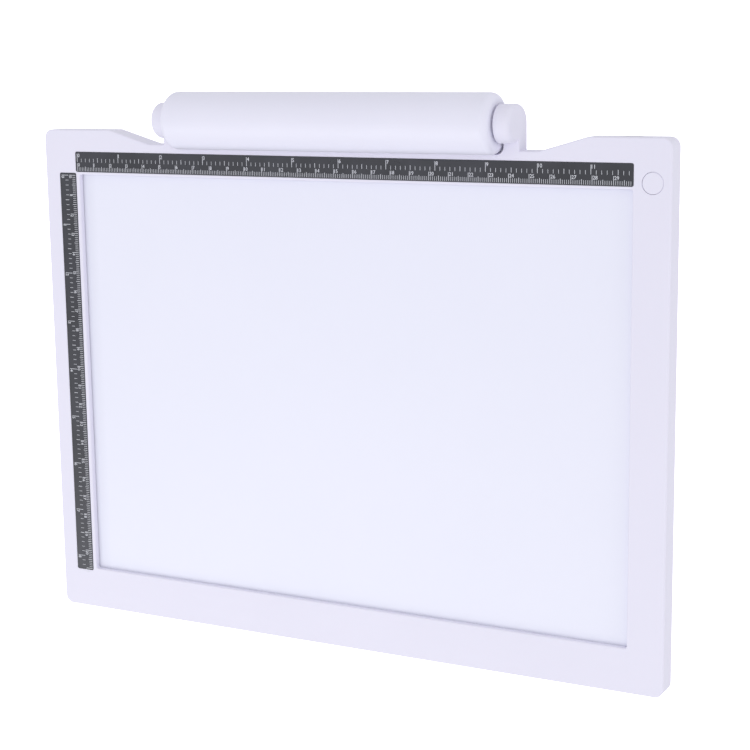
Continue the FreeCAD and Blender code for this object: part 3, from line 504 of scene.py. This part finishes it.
class Ruler:
    """A strip's own directions: along its scale, across it from the outer edge, and its zero."""

    def __init__(self, node, along, across, zero, length):
        self.along = Vector(along)
        self.across = Vector(across)
        self.zero = zero
        self.length = length
        self.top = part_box(node)[1].z

    def point(self, distance, offset, z):
        place = self.zero + self.along * distance + self.across * offset
        return Vector((place.x, place.y, z))

    def tick(self, shape, distance, span, width):
        """A thin raised bar across the strip."""
        half = width / 2.0
        corners = ((distance - half, span[0]), (distance + half, span[0]),
                   (distance + half, span[1]), (distance - half, span[1]))
        low = [shape.verts.new(self.point(d, o, self.top - INK_OVERLAP)) for d, o in corners]
        high = [shape.verts.new(self.point(d, o, self.top + INK_THICKNESS)) for d, o in corners]
        shape.faces.new(low[::-1])
        shape.faces.new(high)
        for k in range(4):
            n = (k + 1) % 4
            shape.faces.new((low[k], low[n], high[n], high[k]))

    def figure(self, shape, number, distance, span):
        """A numeral whose height fills span, starting just after its mark."""
        text = bpy.data.curves.new("figure", "FONT")
        text.body = str(number)
        text.resolution_u = 2
        text.extrude = FIGURE_EXTRUDE
        text.space_character = FIGURE_SPACING
        carrier = bpy.data.objects.new("figure", text)
        bpy.context.scene.collection.objects.link(carrier)
        bpy.context.view_layer.update()
        mesh = bpy.data.meshes.new_from_object(carrier.evaluated_get(
            bpy.context.evaluated_depsgraph_get()))
        high = max(v.co.y for v in mesh.vertices)
        low = min(v.co.y for v in mesh.vertices)
        start = min(v.co.x for v in mesh.vertices)
        scale = (span[1] - span[0]) / (high - low)
        inner = self.reads_inward()
        for vertex in mesh.vertices:
            d = distance + FIGURE_SPACE + (vertex.co.x - start) * scale
            rise = (vertex.co.y - low) * scale
            o = span[0] + rise if inner else span[1] - rise
            z = self.top + (INK_THICKNESS if vertex.co.z > 0.0 else -INK_OVERLAP)
            vertex.co = self.point(d, o, z)
        shape.from_mesh(mesh)
        bpy.data.objects.remove(carrier)
        bpy.data.curves.remove(text)
        bpy.data.meshes.remove(mesh)

    def reads_inward(self):
        """True where the figures' tops point to the screen."""
        return self.along.cross(self.across).z > 0.0

    def marks(self, shape, unit, spans, figures):
        """A scale in tenths of unit, with a figure at every whole unit."""
        whole, half, small = spans
        step = unit / PARTS_PER_UNIT
        count = int(self.length / unit * PARTS_PER_UNIT + COUNT_ROUNDING)
        for k in range(count + 1):
            if k % PARTS_PER_UNIT == 0:
                self.tick(shape, k * step, whole, TICK_WIDTH)
                self.figure(shape, k // PARTS_PER_UNIT, k * step, figures)
            elif k * 2 % PARTS_PER_UNIT == 0:
                self.tick(shape, k * step, half, TICK_WIDTH)
            else:
                self.tick(shape, k * step, small, FINE_TICK_WIDTH)


def make_ruler_prints():
    top_low, top_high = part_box("top_ruler")
    side_low, side_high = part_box("side_ruler")
    rulers = {
        "top_ruler_print": Ruler(
            "top_ruler", (1, 0, 0), (0, -1, 0),
            Vector((top_low.x + ZERO_FROM_END, top_high.y, 0.0)), TOP_SCALE_LENGTH),
        "side_ruler_print": Ruler(
            "side_ruler", (0, -1, 0), (1, 0, 0),
            Vector((side_low.x, side_high.y - ZERO_FROM_END, 0.0)), SIDE_SCALE_LENGTH),
    }
    ink = ruler_print()
    for name, ruler in rulers.items():
        shape = bmesh.new()
        ruler.marks(shape, INCH, (INCH_MARK, HALF_INCH_MARK, TENTH_MARK), INCH_FIGURE)
        ruler.marks(shape, CENTIMETRE, (CENTIMETRE_MARK, HALF_CENTIMETRE_MARK, MILLIMETRE_MARK),
                    CENTIMETRE_FIGURE)
        bmesh.ops.recalc_face_normals(shape, faces=shape.faces)
        piece = finish_mesh(name, shape)
        piece.data.materials.append(ink)
        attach(piece, "pad")


# ---------------------------------------------------------------- build
make_camera()
make_world()
make_softboxes()
make_floor()
dress_frame()
make_ruler_prints()
bpy.context.scene.view_settings.view_transform = "Standard"
